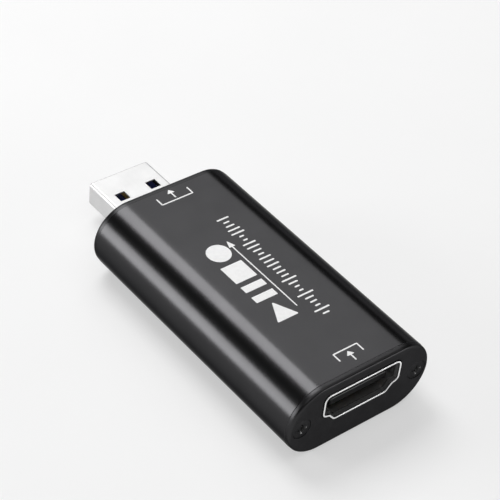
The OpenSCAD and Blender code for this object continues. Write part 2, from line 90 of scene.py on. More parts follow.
# End plate sizes
PLATE_BEVEL = 0.5
PLATE_REVEAL = 0.05
PANEL_GAP = 0.15
OPENING_EDGE = 0.08
SINK_EDGE = 0.04
LIP_L = 0.8
LIP_W = 13.0
LIP_T = 0.7
LIP_GAP = 0.1
LIP_EDGE = 0.08
LIP_CLEAR = 0.02

# Screw sizes
SCREW_Y = 11.5
SCREW_L = 6.0
HEAD_R = 1.7
HEAD_GAP = 0.05
HEAD_LAND = 0.1
HEAD_EDGE = 0.06
SHANK_R = 0.95
POINT_L = 1.0
POINT_R = SHANK_R / 3
CROSS_ARM = 0.95
CROSS_HALF = 0.225
CROSS_CORNER = 0.07
CROSS_DEPTH = 0.5
CROSS_TAPER = 0.72

# Sizes that both connectors share
LEG_L = 1.4
LEG_THROUGH = 0.5
FILL_GAP = 0.05
TONGUE_HOLD = 0.5

# Video socket sizes
SOCKET_W = 14.0
SOCKET_H = 4.55
SOCKET_BASE_W = 9.9
SOCKET_SIDE_H = 3.05
SOCKET_STEP_W = 1.1
SOCKET_STEP_H = 0.35
SOCKET_BASE_R = 0.4
SOCKET_STEP_R = 1.2
SOCKET_WAIST_R = 0.3
SOCKET_TOP_R = 0.55
SOCKET_SHEET = 0.3
SOCKET_FLARE = 0.35
SOCKET_RIM_L = 0.8
RIM_ROLL = 0.08
RIM_FLAT = 0.05
MOUTH_EDGE = 0.1
SOCKET_LEGS = (4.2, 9.6)
SOCKET_BLOCK_L = 3.2
SOCKET_TONGUE_W = 11.4
SOCKET_TONGUE_T = 1.5
SOCKET_TONGUE_EDGE = 0.3
SOCKET_TONGUE_IN = 1.0

# Socket spring sizes; springs and legs stay a little inside both faces of the sheet
SPRING_W = 1.6
SPRING_L = 4.2
SPRING_Y = 3.2
SPRING_TIP = 2.4
SPRING_DIP = 0.45
SPRING_HOLD = 0.2
SPRING_FLAT = 0.4
SPRING_TURN = 1.0
SLOT_GAP = 0.3
SLOT_CORNER = 0.2
FORMED_INSET = 0.02
FORMED_T = SOCKET_SHEET - 2 * FORMED_INSET

# Serial plug sizes
PLUG_W = 12.0
PLUG_H = 4.5
PLUG_SHEET = 0.3
PLUG_CORNER = 0.6
PLUG_BEVEL = 0.03
TIP_DRAW = 0.15
TIP_LIP = 0.06
TIP_LIP_L = 0.08
TIP_PLAIN = 0.3
WINDOW = 2.0
WINDOW_X = 5.8
WINDOW_Y = 3.15
WINDOW_CORNER = 0.12
SEAM_W = 0.1
SEAM_REACH = 0.5
SEAM_PAST = 1.0
PLUG_TAB_W = 2.2
PLUG_LEG_X = 1.8
PLUG_LEG_LAP = 0.1
PLUG_BLOCK_L = 9.2
PLUG_TONGUE_T = 1.9
PLUG_TONGUE_EDGE = 0.15
PLUG_TONGUE_IN = 0.7

# Outlines in Y and Z
FLAT_SPARE = 0.4


def ring_points(centre, radius, first, last, steps):
    """Points of an arc round centre between two angles in degrees."""
    turns = [math.radians(first + (last - first) * i / steps) for i in range(steps + 1)]
    return [Vector((centre[0] + radius * math.cos(a), centre[1] + radius * math.sin(a))) for a in turns]


def circle(centre, radius, steps=48):
    """Closed circle without a doubled point."""
    return ring_points(centre, radius, 0, 360, steps)[:-1]


def stadium(width, height, grow=0.0, steps=48):
    """Flat top and bottom between half-round sides, with spare points beside the ends of the flats."""
    radius = height / 2 + grow
    centre = (width - height) / 2
    spare = centre - FLAT_SPARE
    loop = []
    for side in (1, -1):
        arc = ring_points((centre, 0), radius, -90, 90, steps)
        loop += [side * p for p in arc]
        loop += [side * Vector((spare, radius)), side * Vector((-spare, radius))]
    return loop


def corner_arc(before, corner, after, radius, grow, steps):
    """Points of the arc that rounds one corner of a loop that turns left, moved out by grow."""
    u = (before - corner).normalized()
    v = (after - corner).normalized()
    half = math.acos(u.dot(v)) / 2
    turn = 1 if (corner - before).cross(after - corner) > 0 else -1
    centre = corner + (u + v).normalized() * radius / math.sin(half)
    start = corner + u * radius / math.tan(half) - centre
    first = math.degrees(math.atan2(start.y, start.x))
    sweep = turn * (180 - 2 * math.degrees(half))
    return ring_points(centre, radius + turn * grow, first, first + sweep, steps)


def rounded(corners, radii, grow=0.0, steps=8):
    """Closed loop with every corner rounded by its own radius."""
    points = [Vector(c) for c in corners]
    loop = []
    for i, radius in enumerate(radii):
        after = points[(i + 1) % len(points)]
        loop += corner_arc(points[i - 1], points[i], after, radius, grow, steps)
    return loop


def rounded_box(width, height, radius, grow=0.0, steps=8):
    """Rectangle with round corners about the origin."""
    w = width / 2
    h = height / 2
    return rounded([(-w, -h), (w, -h), (w, h), (-w, h)], [radius] * 4, grow, steps)


def socket_outline(grow):
    """Opening of the video socket, drawn in at both lower corners by a shallow step."""
    w = SOCKET_W / 2
    top = SOCKET_H / 2
    side = top - SOCKET_SIDE_H
    base = SOCKET_BASE_W / 2
    step_y = w - SOCKET_STEP_W
    step_z = side - SOCKET_STEP_H
    corners = [(-base, -top), (base, -top), (step_y, step_z), (w, side)]
    corners += [(w, top), (-w, top), (-w, side), (-step_y, step_z)]
    radii = [SOCKET_BASE_R, SOCKET_BASE_R, SOCKET_STEP_R, SOCKET_WAIST_R]
    radii += [SOCKET_TOP_R, SOCKET_TOP_R, SOCKET_WAIST_R, SOCKET_STEP_R]
    return rounded(corners, radii, grow)


def plug_outline(grow):
    """Outside of the flat plug."""
    return rounded_box(PLUG_W, PLUG_H, PLUG_CORNER, grow)


def moved(loop, dy, dz):
    """Loop shifted in Y and Z."""
    return [p + Vector((dy, dz)) for p in loop]


# Mesh building
BAR_EDGE = 0.08
BAR_EDGE_SHARE = 0.4
BAR_CORNER = 1.2
BAR_STEPS = 3
TONGUE_CORNER = 1.5
TONGUE_STEPS = 4


def place(loop, x, z=0.0):
    """Loop of Y and Z as points of the part at station x, in metres."""
    return [Vector((x, p.x, p.y + z)) * MM for p in loop]


def loft(bm, loops, ring=False):
    """Skin of quads through loops of equal length; ring joins the last loop to the first."""
    rows = [[bm.verts.new(p) for p in loop] for loop in loops]
    pairs = list(zip(rows, rows[1:]))
    if ring:
        pairs.append((rows[-1], rows[0]))
    for a, b in pairs:
        for i in range(len(a)):
            bm.faces.new((a[i - 1], a[i], b[i], b[i - 1]))
    return rows


def fill(bm, *rows):
    """Flat face inside the first row of vertices, with the other rows as holes."""
    edges = [bm.edges.get((row[i - 1], row[i])) for row in rows for i in range(len(row))]
    bmesh.ops.triangle_fill(bm, use_beauty=True, edges=edges)


def solid(bm, loops):
    """Closed skin through loops with both ends filled."""
    rows = loft(bm, loops)
    fill(bm, rows[0])
    fill(bm, rows[-1])


def quarter(x, way, radius, steps=5):
    """Stations and inward offsets of a rounded edge, from the face at x back along the side."""
    turns = [math.pi / 2 * i / steps for i in range(steps + 1)]
    return [(x - way * radius * (1 - math.cos(a)), -radius * (1 - math.sin(a))) for a in turns]


def bar_section(width, height, edge, grow):
    """Section of a small bar, whose corners are a little rounder than the edges of its ends."""
    return rounded_box(width, height, BAR_CORNER * edge, grow, BAR_STEPS)


def tongue_section(width, height, edge, grow):
    """Section of a connector's tongue."""
    return rounded_box(width, height, TONGUE_CORNER * edge, grow, TONGUE_STEPS)


def bar(bm, low, high, radius=BAR_EDGE):
    """Closed bar between two corners in millimetres, with rounded edges."""
    width = high[1] - low[1]
    height = high[2] - low[2]
    edge = min(radius, BAR_EDGE_SHARE * min(width, height, high[0] - low[0]))
    centre = ((low[1] + high[1]) / 2, (low[2] + high[2]) / 2)
    stations = quarter(low[0], -1, edge, BAR_STEPS) + quarter(high[0], 1, edge, BAR_STEPS)[::-1]
    solid(bm, [place(moved(bar_section(width, height, edge, grow), *centre), x) for x, grow in stations])


def leg(bm, x, y, thickness, top):
    """Flat leg of a connector's shell, from under the board up to a height."""
    low = (x - LEG_L / 2, y - thickness / 2, BOARD_Z - LEG_THROUGH)
    high = (x + LEG_L / 2, y + thickness / 2, top)
    bar(bm, low, high)


def strip(bm, path, thickness, y, width):
    """Flat strip bent along a path of X and Z, centred on y."""
    points = [Vector(p) for p in path]
    runs = [(b - a).normalized() for a, b in zip(points, points[1:])]
    y0 = y - width / 2
    y1 = y + width / 2
    rows = []
    for i, p in enumerate(points):
        before = runs[max(i - 1, 0)]
        after = runs[min(i, len(runs) - 1)]
        mean = (before + after).normalized()
        across = Vector((-mean.y, mean.x)) * thickness / 2 / mean.dot(before)
        low = p - across
        high = p + across
        corners = [(low.x, y0, low.y), (low.x, y1, low.y), (high.x, y1, high.y), (high.x, y0, high.y)]
        rows.append([Vector(c) * MM for c in corners])
    solid(bm, rows)


# Objects
BEVEL_ANGLE = math.radians(50)
SHARP_ANGLE = math.radians(35)


def new_object(name, bm):
    """Object of a finished bmesh, with its faces turned outwards."""
    bmesh.ops.recalc_face_normals(bm, faces=bm.faces)
    mesh = bpy.data.meshes.new(name)
    bm.to_mesh(mesh)
    bm.free()
    obj = bpy.data.objects.new(name, mesh)
    bpy.context.collection.objects.link(obj)
    return obj


def apply_modifiers(obj):
    """Turns the modifiers of an object into its mesh."""
    graph = bpy.context.evaluated_depsgraph_get()
    mesh = bpy.data.meshes.new_from_object(obj.evaluated_get(graph))
    obj.modifiers.clear()
    obj.data = mesh


def combine(obj, bm, operation):
    """Cuts the closed shapes of bm from an object, or joins them to it."""
    tool = new_object("shape_tool", bm)
    step = obj.modifiers.new("shape", "BOOLEAN")
    step.operation = operation
    step.solver = "EXACT"
    step.use_self = True
    step.object = tool
    apply_modifiers(obj)
    bpy.data.objects.remove(tool)


def soften(obj, width):
    """Rounds the sharp edges of an object by a width in millimetres."""
    edge = obj.modifiers.new("edge", "BEVEL")
    edge.width = width * MM
    edge.segments = 2
    edge.limit_method = "ANGLE"
    edge.angle_limit = BEVEL_ANGLE
    apply_modifiers(obj)


def dress(obj, slot, node=None):
    """Finish, shading and body of a piece, and the CAD node that it replaces."""
    obj.data.materials.clear()
    obj.data.materials.append(LOOKS[slot])
    obj.data.shade_smooth()
    obj.data.set_sharp_from_angle(angle=SHARP_ANGLE)
    normals = obj.modifiers.new("normals", "WEIGHTED_NORMAL")
    normals.keep_sharp = True
    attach(obj, "root")
    if node:
        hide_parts(node)


def second_finish(obj, look, test):
    """Another finish for the faces whose middle, in millimetres, and normal pass a test."""
    index = len(obj.data.materials)
    obj.data.materials.append(LOOKS[look])
    for face in obj.data.polygons:
        if test(face.center / MM, face.normal):
            face.material_index = index


# Tests for faces
INWARD_LEAST = 0.2
FACING_LEAST = 0.97
FORWARD_LEAST = 0.2
RECESS_SPARE = 0.01


def inward(low_x, high_x, axis_z):
    """Test for faces between two stations that look towards an axis along X."""
    def test(centre, normal):
        outward = normal.y * centre.y + normal.z * (centre.z - axis_z)
        return low_x < centre.x < high_x and outward < -INWARD_LEAST

    return test


def facing(way):
    """Test for faces that look straight along X, one way or the other."""
    def test(centre, normal):
        return normal.x * way > FACING_LEAST

    return test


def forward_and_up(centre, normal):
    """Test for faces that look both forward and up."""
    return normal.x > FORWARD_LEAST and normal.z > FORWARD_LEAST


def in_recess(x_top, way):
    """Test for faces inside the cross recess of a screw."""
    def test(centre, normal):
        reach = math.hypot(abs(centre.y) - SCREW_Y, centre.z - MID_Z)
        depth = way * (x_top - centre.x)
        return reach < SHANK_R and RECESS_SPARE < depth < CROSS_DEPTH + RECESS_SPARE

    return test


# Material nodes
NOISE_RANGE = (0.3, 0.7)
COARSE_DETAIL = 4.0
FINE_DETAIL = 2.0
ROUGH_OVER_GRAIN = 1.5
EVEN = (1.0, 1.0, 1.0)
DRAWN = (0.03, 1.0, 1.0)
COOL_TINT = (1.006, 1.0, 1.036)


def new_shader(name):
    """Node material with its tree and its main shader."""
    material = bpy.data.materials.new(name)
    material.use_nodes = True
    tree = material.node_tree
    return material, tree, tree.nodes["Principled BSDF"]


def noise(tree, size, detail, stretch=EVEN):
    """Noise over the object's own coordinates whose features are about size millimetres across."""
    place_node = tree.nodes.new("ShaderNodeTexCoord")
    scale_node = tree.nodes.new("ShaderNodeMapping")
    scale_node.inputs["Scale"].default_value = stretch
    texture = tree.nodes.new("ShaderNodeTexNoise")
    texture.inputs["Scale"].default_value = 1 / (size * MM)
    texture.inputs["Detail"].default_value = detail
    tree.links.new(place_node.outputs["Object"], scale_node.inputs["Vector"])
    tree.links.new(scale_node.outputs["Vector"], texture.inputs["Vector"])
    return texture.outputs["Fac"]


def map_range(tree, value, source, target, kind="LINEAR"):
    """Value carried from one range to another."""
    scale = tree.nodes.new("ShaderNodeMapRange")
    scale.interpolation_type = kind
    scale.inputs["From Min"].default_value = source[0]
    scale.inputs["From Max"].default_value = source[1]
    scale.inputs["To Min"].default_value = target[0]
    scale.inputs["To Max"].default_value = target[1]
    tree.links.new(value, scale.inputs["Value"])
    return scale.outputs["Result"]


def math_node(tree, operation, first, second, clamp=False):
    """Result of one operation on two values."""
    step = tree.nodes.new("ShaderNodeMath")
    step.operation = operation
    step.use_clamp = clamp
    tree.links.new(first, step.inputs[0])
    tree.links.new(second, step.inputs[1])
    return step.outputs["Value"]


def vary_colour(tree, shader, factor, tones):
    """Base colour that moves between two tones."""
    ramp = tree.nodes.new("ShaderNodeValToRGB")
    for element, position, tone in zip(ramp.color_ramp.elements, NOISE_RANGE, tones):
        element.position = position
        element.color = (*tone, 1)
    tree.links.new(factor, ramp.inputs["Fac"])
    tree.links.new(ramp.outputs["Color"], shader.inputs["Base Color"])


def vary_roughness(tree, shader, factor, rough):
    """Roughness that moves between two values."""
    tree.links.new(map_range(tree, factor, NOISE_RANGE, rough), shader.inputs["Roughness"])


def raise_grain(tree, shader, factor, strength, height):
    """Bump from a noise, height in millimetres."""
    bump = tree.nodes.new("ShaderNodeBump")
    bump.inputs["Strength"].default_value = strength
    bump.inputs["Distance"].default_value = height * MM
    tree.links.new(factor, bump.inputs["Height"])
    tree.links.new(bump.outputs["Normal"], shader.inputs["Normal"])


def grey(level, warm=0.0):
    """Neutral tone, or a slightly warm one."""
    return (level * (1 + warm), level, level * (1 - warm))


def cool(level):
    """Grey with a trace of violet."""
    return tuple(level * part for part in COOL_TINT)


def finish(name, tones, rough, metallic=0.0, specular=0.5, edge_tint=1.0, tone_size=3.0, grain=0.15,
           strength=0.2, height=0.01, stretch=EVEN):
    """Material with wandering tone, uneven roughness and a fine raised grain."""
    material, tree, shader = new_shader(name)
    shader.inputs["Metallic"].default_value = metallic
    shader.inputs["Specular IOR Level"].default_value = specular
    shader.inputs["Specular Tint"].default_value = (*grey(edge_tint), 1)
    vary_colour(tree, shader, noise(tree, tone_size, COARSE_DETAIL), tones)
    vary_roughness(tree, shader, noise(tree, ROUGH_OVER_GRAIN * grain, COARSE_DETAIL, stretch), rough)
    raise_grain(tree, shader, noise(tree, grain, FINE_DETAIL, stretch), strength, height)
    return material


# Finishes by material slot, and a few for some faces of a piece, such as the plate's face; those few
# paint light or shade onto their faces, as noted at each
FINISHES = {
    "sleeve_metal": dict(tones=(cool(0.040), cool(0.044)), rough=(0.21, 0.25), metallic=1.0,
                         edge_tint=0.4, tone_size=6.0, grain=0.12, strength=0.03, height=0.003),
    "plate_metal": dict(tones=(cool(0.037), cool(0.041)), rough=(0.28, 0.34), metallic=1.0,
                        edge_tint=0.4, grain=0.12, strength=0.04, height=0.003),
    # Plate's face: the plate metal with a slightly lighter tone, which is painted light, and a rougher
    # finish of its own
    "plate_face_painted_light": dict(tones=(cool(0.038), cool(0.044)), rough=(0.42, 0.5), metallic=1.0,
                       edge_tint=0.4, tone_size=2.0, strength=0.12, height=0.005),
    "black_screw": dict(tones=(cool(0.034), cool(0.044)), rough=(0.38, 0.48), metallic=1.0,
                        edge_tint=0.4, tone_size=0.8, grain=0.1, height=0.006),
    # Cross recess: much lighter steel than the black head, a painted glint
    "screw_recess_painted_glint": dict(tones=(grey(0.22), grey(0.3)), rough=(0.25, 0.32), metallic=1.0, grain=0.08),
    "socket_steel": dict(tones=(grey(0.92), grey(0.96)), rough=(0.24, 0.32), metallic=1.0,
                         tone_size=2.0, grain=0.08, strength=0.06, height=0.003),
    # Inside of the socket's mouth: near-black metal, painted shade
    "socket_mouth_painted_shade": dict(tones=(grey(0.05), grey(0.065)), rough=(0.4, 0.5), metallic=1.0, grain=0.1),
    # Inside of the socket shell: the steel made much darker, painted shade
    "socket_inside_painted_shade": dict(tones=(grey(0.4), grey(0.46)), rough=(0.4, 0.5), metallic=1.0, grain=0.1),
    "plug_steel": dict(tones=(grey(0.57), grey(0.62)), rough=(0.47, 0.55), metallic=0.85,
                       grain=0.06, strength=0.05, height=0.003, stretch=DRAWN),
    # Inside of the plug shell: the steel made much darker, painted shade
    "plug_inside_painted_shade": dict(tones=(grey(0.1), grey(0.14)), rough=(0.45, 0.55), metallic=1.0, grain=0.1),
    "socket_plastic": dict(tones=(grey(0.005), grey(0.007)), rough=(0.4, 0.5), specular=0.06,
                           grain=0.12),
    # Front top edge of the socket's tongue: the black plastic a little lighter, a painted highlight
    # line, with more sheen
    "tongue_edge_painted_highlight": dict(tones=(grey(0.012), grey(0.016)), rough=(0.3, 0.38), specular=0.6, grain=0.12),
    "plug_plastic": dict(tones=((0.017, 0.027, 0.18), (0.021, 0.034, 0.22)), rough=(0.38, 0.48),
                         grain=0.12),
    "gold_contact": dict(tones=((0.5, 0.33, 0.11), (0.58, 0.39, 0.14)), rough=(0.24, 0.34), metallic=1.0,
                         tone_size=0.8, grain=0.06, strength=0.1, height=0.003, stretch=DRAWN),
    "board_laminate": dict(tones=((0.008, 0.075, 0.032), (0.012, 0.1, 0.045)), rough=(0.3, 0.4),
                           tone_size=1.2, grain=0.25),
    "chip_plastic": dict(tones=(grey(0.016), grey(0.022)), rough=(0.55, 0.68), tone_size=0.6,
                         grain=0.06),
    "tinned_lead": dict(tones=(grey(0.64), grey(0.72)), rough=(0.34, 0.46), metallic=1.0,
                        tone_size=0.4, grain=0.05, height=0.003),
    "pad_silicone": dict(tones=((0.32, 0.39, 0.48), (0.37, 0.44, 0.54)), rough=(0.7, 0.85), grain=0.2),
    "crystal_can": dict(tones=(grey(0.68, 0.04), grey(0.74, 0.04)), rough=(0.25, 0.36), metallic=1.0,
                        tone_size=0.8, grain=0.06, height=0.003, stretch=DRAWN),
    "ferrite": dict(tones=(grey(0.05), grey(0.068)), rough=(0.5, 0.65), tone_size=0.4, grain=0.05),
    "capacitor_ceramic": dict(tones=((0.39, 0.25, 0.14), (0.45, 0.3, 0.17)), rough=(0.45, 0.6),
                              tone_size=0.5, grain=0.06),
    "resistor_body": dict(tones=(grey(0.017), grey(0.024)), rough=(0.25, 0.38), tone_size=0.5,
                          grain=0.06),
    "film_plastic": dict(tones=((0.46, 0.23, 0.025), (0.54, 0.28, 0.035)), rough=(0.25, 0.38),
                         grain=0.4),
    "print_ink": dict(tones=(grey(0.8), grey(0.86)), rough=(0.45, 0.6), tone_size=0.6, grain=0.08,
                      height=0.003),
}
LOOKS = {name: finish(name, **values) for name, values in FINISHES.items()}

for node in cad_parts.values():
    for holder in node.material_slots:
        holder.material = LOOKS[holder.material.name.split(".")[0]]

# Sleeve
WALL_STEPS = 16
BORE_STEPS = 24


def half_inside():
    """Right half of the sleeve's inside from floor to roof: rail, board slot, screw channel and wall."""
    inner_r = BODY_H / 2 - WALL
    wall_y = (BODY_W - BODY_H) / 2
    rail_low = BOARD_Z - BOARD_GAP - RIB_T - MID_Z
    slot_low = BOARD_Z - BOARD_GAP - MID_Z
    slot_high = BOARD_TOP + BOARD_GAP - MID_Z
    slot_y = RAIL_Y + SLOT_DEPTH
    slit = CHANNEL_SLIT / 2
    low_turn = math.degrees(math.asin(rail_low / inner_r))
    bore_turn = math.degrees(math.asin(slit / BORE_R))
    boss_turn = math.degrees(math.asin(slit / CHANNEL_R))
    reach = SCREW_Y - wall_y
    meet_y = (reach ** 2 + inner_r ** 2 - CHANNEL_R ** 2) / (2 * reach)
    meet_z = math.sqrt(inner_r ** 2 - meet_y ** 2)
    boss_end = math.degrees(math.atan2(meet_z, meet_y - reach))
    wall_turn = math.degrees(math.atan2(meet_z, meet_y))
    path = ring_points((wall_y, 0), inner_r, -90, low_turn, WALL_STEPS)
    rail = [(RAIL_Y, rail_low), (RAIL_Y, slot_low), (slot_y, slot_low)]
    rail += [(slot_y, slot_high), (RAIL_Y, slot_high), (RAIL_Y, -slit)]
    path += [Vector(p) for p in rail]
    path += ring_points((SCREW_Y, 0), BORE_R, 180 + bore_turn, 540 - bore_turn, BORE_STEPS)
    path += ring_points((SCREW_Y, 0), CHANNEL_R, 180 - boss_turn, boss_end, WALL_STEPS)
    path += ring_points((wall_y, 0), inner_r, wall_turn, 90, WALL_STEPS)[1:]
    return path


def inside_outline():
    """Closed inside of the sleeve."""
    right = half_inside()
    left = [Vector((-p.x, p.y)) for p in reversed(right)]
    return right + left


def make_sleeve():
    """Extruded sleeve with rounded cut ends, rails, board slots and screw channels."""
    bm = bmesh.new()
    stations = quarter(X_SLEEVE0, -1, SLEEVE_EDGE) + quarter(X_SLEEVE1, 1, SLEEVE_EDGE)[::-1]
    outer = loft(bm, [place(stadium(BODY_W, BODY_H, grow), x, MID_Z) for x, grow in stations])
    inner = loft(bm, [place(inside_outline(), x, MID_Z) for x in (X_SLEEVE0, X_SLEEVE1)])
    fill(bm, outer[0], inner[0])
    fill(bm, outer[-1], inner[-1])
    dress(new_object("sleeve", bm), "sleeve_metal", "housing_sleeve")


# End plates
def socket_hole(grow):
    """Opening of the input plate."""
    return socket_outline(SOCKET_SHEET + SOCKET_FLARE + PANEL_GAP + grow)


def plug_hole(grow):
    """Opening of the output plate."""
    return plug_outline(PANEL_GAP + grow)


def countersink(bm, y, x_face, x_inner, way):
    """Wall of one screw hole, from the outer face of a plate to its inner face."""
    mouth_r = HEAD_R + HEAD_GAP
    neck_r = SHANK_R + HEAD_GAP
    x_mouth = x_face - way * (HEAD_LAND + HEAD_GAP)
    x_neck = x_mouth - way * (HEAD_R - SHANK_R)
    profile = [(x_face, mouth_r + SINK_EDGE), (x_face - way * SINK_EDGE, mouth_r), (x_mouth, mouth_r)]
    profile += [(x_neck, neck_r), (x_inner, neck_r)]
    return loft(bm, [place(circle((y, 0), r), x, MID_Z) for x, r in profile])


def plate_lip(bm, low, x_inner, way, opening_top):
    """Locating lip on the inner face of a plate, clear of its opening; returns its open root."""
    high = low + LIP_T
    if low < opening_top < high:
        low = opening_top + LIP_CLEAR
    height = high - low
    mid = (low + high) / 2
    stations = quarter(x_inner - way * LIP_L, -way, LIP_EDGE, BAR_STEPS) + [(x_inner, 0.0)]
    rows = loft(bm, [place(bar_section(LIP_W, height, LIP_EDGE, grow), x, mid) for x, grow in stations])
    fill(bm, rows[0])
    return rows[-1]


def make_plate(name, node, x_inner, way, opening, opening_z):
    """End plate with rounded edge, opening, two countersinks and two lips; way is where it faces."""
    bm = bmesh.new()
    x_face = x_inner + way * PLATE_T
    width = BODY_W - 2 * PLATE_REVEAL
    height = BODY_H - 2 * PLATE_REVEAL
    stations = quarter(x_face, way, PLATE_BEVEL) + [(x_inner, 0.0)]
    rim = loft(bm, [place(stadium(width, height, grow), x, MID_Z) for x, grow in stations])
    cut = [(x, -grow) for x, grow in quarter(x_face, way, OPENING_EDGE)] + [(x_inner, 0.0)]
    hole = loft(bm, [place(opening(grow), x, opening_z) for x, grow in cut])
    fronts = [rim[0], hole[0]]
    backs = [rim[-1], hole[-1]]
    for side in (-1, 1):
        sink = countersink(bm, side * SCREW_Y, x_face, x_inner, way)
        fronts.append(sink[0])
        backs.append(sink[-1])
    opening_top = opening_z + max(p.y for p in opening(0.0))
    for low in (WALL + LIP_GAP, BODY_H - WALL - LIP_GAP - LIP_T):
        backs.append(plate_lip(bm, low, x_inner, way, opening_top))
    fill(bm, *fronts)
    fill(bm, *backs)
    plate = new_object(name, bm)
    dress(plate, "plate_metal", node)
    # The faces that look straight out get the slightly lighter tone: painted light
    second_finish(plate, "plate_face_painted_light", facing(way))


# Screws
SCREW_STEPS = 3


def cross_outline(scale):
    """Cross recess with slightly rounded arms."""
    arm = CROSS_ARM * scale
    half = CROSS_HALF * scale
    corners = [(half, -arm), (half, -half), (arm, -half), (arm, half), (half, half), (half, arm)]
    corners += [(-half, arm), (-half, half), (-arm, half), (-arm, -half), (-half, -half), (-half, -arm)]
    return rounded(corners, [CROSS_CORNER * scale] * len(corners), 0.0, SCREW_STEPS)


def make_screws(name, node, x_face, way):
    """Two countersunk screws with cross-recessed heads."""
    bm = bmesh.new()
    x_top = x_face - way * HEAD_GAP
    x_cone = x_top - way * HEAD_LAND
    x_neck = x_cone - way * (HEAD_R - SHANK_R)
    x_end = x_top - way * SCREW_L
    profile = [(x, HEAD_R + grow) for x, grow in quarter(x_top, way, HEAD_EDGE, SCREW_STEPS)]
    profile += [(x_cone, HEAD_R), (x_neck, SHANK_R)]
    profile += [(x_end + way * POINT_L, SHANK_R), (x_end, POINT_R)]
    recess = [(x_top, 1.0), (x_top - way * CROSS_DEPTH, CROSS_TAPER)]
    for side in (-1, 1):
        at = (side * SCREW_Y, MID_Z)
        skin = loft(bm, [place(circle(at, r), x) for x, r in profile])
        cross = loft(bm, [place(moved(cross_outline(s), *at), x) for x, s in recess])
        fill(bm, skin[0], cross[0])
        fill(bm, cross[-1])
        fill(bm, skin[-1])
    screws = new_object(name, bm)
    dress(screws, "black_screw", node)
    # The recess faces get the lighter steel, which paints a glint into the dark head
    second_finish(screws, "screw_recess_painted_glint", in_recess(x_top, way))


# Video socket
X_SPRING_TIP = X_RIM - SPRING_TIP
X_SPRING_ROOT = X_SPRING_TIP - SPRING_L
FLARE_STEPS = 10


def flare_curve(x_bend):
    """Stations and offsets of the smooth bend from the socket's tube to its wide rim."""
    length = X_RIM - RIM_ROLL - RIM_FLAT - x_bend
    shares = [i / FLARE_STEPS for i in range(FLARE_STEPS + 1)]
    return [(x_bend + length * t, SOCKET_FLARE * (3 - 2 * t) * t ** 2) for t in shares]


def spring_slot(bm, face, y):
    """Block that cuts the slot round one spring out of the upper or lower wall."""
    wall_z = SOCKET_Z + face * SOCKET_H / 2
    half = SPRING_W / 2 + SLOT_GAP
    reach = 2 * SOCKET_SHEET
    low = (X_SPRING_ROOT, y - half, wall_z - reach)
    high = (X_SPRING_TIP + SLOT_GAP, y + half, wall_z + reach)
    bar(bm, low, high, SLOT_CORNER)


def spring(bm, face, y):
    """Spring that leaves the wall, dips into the socket and turns out again at its tip."""
    level = (SOCKET_H + SOCKET_SHEET) / 2
    path = [(X_SPRING_ROOT - SPRING_HOLD, level), (X_SPRING_ROOT + SPRING_FLAT, level)]
    path += [(X_SPRING_TIP - SPRING_TURN, level - SPRING_DIP), (X_SPRING_TIP, level - SPRING_DIP / 4)]
    strip(bm, [(x, SOCKET_Z + face * z) for x, z in path], FORMED_T, y, SPRING_W)


def make_socket_shell():
    """Formed shell with a rolled rim, four springs in their slots and four legs."""
    bm = bmesh.new()
    x_bend = X_RIM - SOCKET_RIM_L
    curve = flare_curve(x_bend)
    roll = quarter(X_RIM, 1, RIM_ROLL)
    stations = [(X_SOCKET_REAR, 0.0)] + curve
    stations += [(x, SOCKET_FLARE - grow) for x, grow in reversed(roll)]
    stations += [(x, SOCKET_FLARE + SOCKET_SHEET + grow) for x, grow in roll]
    stations += [(x, SOCKET_SHEET + flare) for x, flare in reversed(curve)]
    stations.append((X_SOCKET_REAR, SOCKET_SHEET))
    loft(bm, [place(socket_outline(grow), x, SOCKET_Z) for x, grow in stations], ring=True)
    shell = new_object("socket_shell_formed", bm)
    slots = bmesh.new()
    formed = bmesh.new()
    for face in (-1, 1):
        for side in (-1, 1):
            spring_slot(slots, face, side * SPRING_Y)
            spring(formed, face, side * SPRING_Y)
    leg_y = (SOCKET_W + SOCKET_SHEET) / 2
    for side in (-1, 1):
        for from_rim in SOCKET_LEGS:
            leg(formed, X_RIM - from_rim, side * leg_y, FORMED_T, SOCKET_Z)
    combine(shell, slots, "DIFFERENCE")
    combine(shell, formed, "UNION")
    dress(shell, "socket_steel", "socket_shell")
    # The inward faces deeper in get the darker steel: painted shade inside the socket
    second_finish(shell, "socket_inside_painted_shade", inward(X_SOCKET_REAR, x_bend, SOCKET_Z))
    # The inward faces of the mouth get near-black metal: painted shade
    second_finish(shell, "socket_mouth_painted_shade", inward(x_bend, X_RIM - MOUTH_EDGE, SOCKET_Z))


def make_insulator(name, node, slot, block, tongue):
    """Moulded block with a tongue; each is a list of loops to skin."""
    bm = bmesh.new()
    solid(bm, block)
    body = new_object(name, bm)
    tongue_bm = bmesh.new()
    solid(tongue_bm, tongue)
    combine(body, tongue_bm, "UNION")
    dress(body, slot, node)
    return body


def make_socket_insulator():
    """Black block and thin tongue of the video socket."""
    ends = (X_SOCKET_REAR, X_SOCKET_REAR + SOCKET_BLOCK_L)
    block = [place(socket_outline(-FILL_GAP), x, SOCKET_Z) for x in ends]
    front = quarter(X_RIM - SOCKET_TONGUE_IN, 1, SOCKET_TONGUE_EDGE)
    stations = [(X_SOCKET_REAR + TONGUE_HOLD, 0.0)] + front[::-1]
    size = (SOCKET_TONGUE_W, SOCKET_TONGUE_T, SOCKET_TONGUE_EDGE)
    tongue = [place(tongue_section(*size, grow), x, SOCKET_Z) for x, grow in stations]
    body = make_insulator("socket_tongue", "socket_insulator", "socket_plastic", block, tongue)
    # Faces that look forward and up get the lighter plastic: a painted highlight along the tongue's edge
    second_finish(body, "tongue_edge_painted_highlight", forward_and_up)


# Serial plug
PLUG_FLOOR = PLUG_Z - PLUG_H / 2
TIP_CURVE = ((2.0, 0.0), (1.0, 0.25), (0.3, 0.7), (0.0, 1.2))


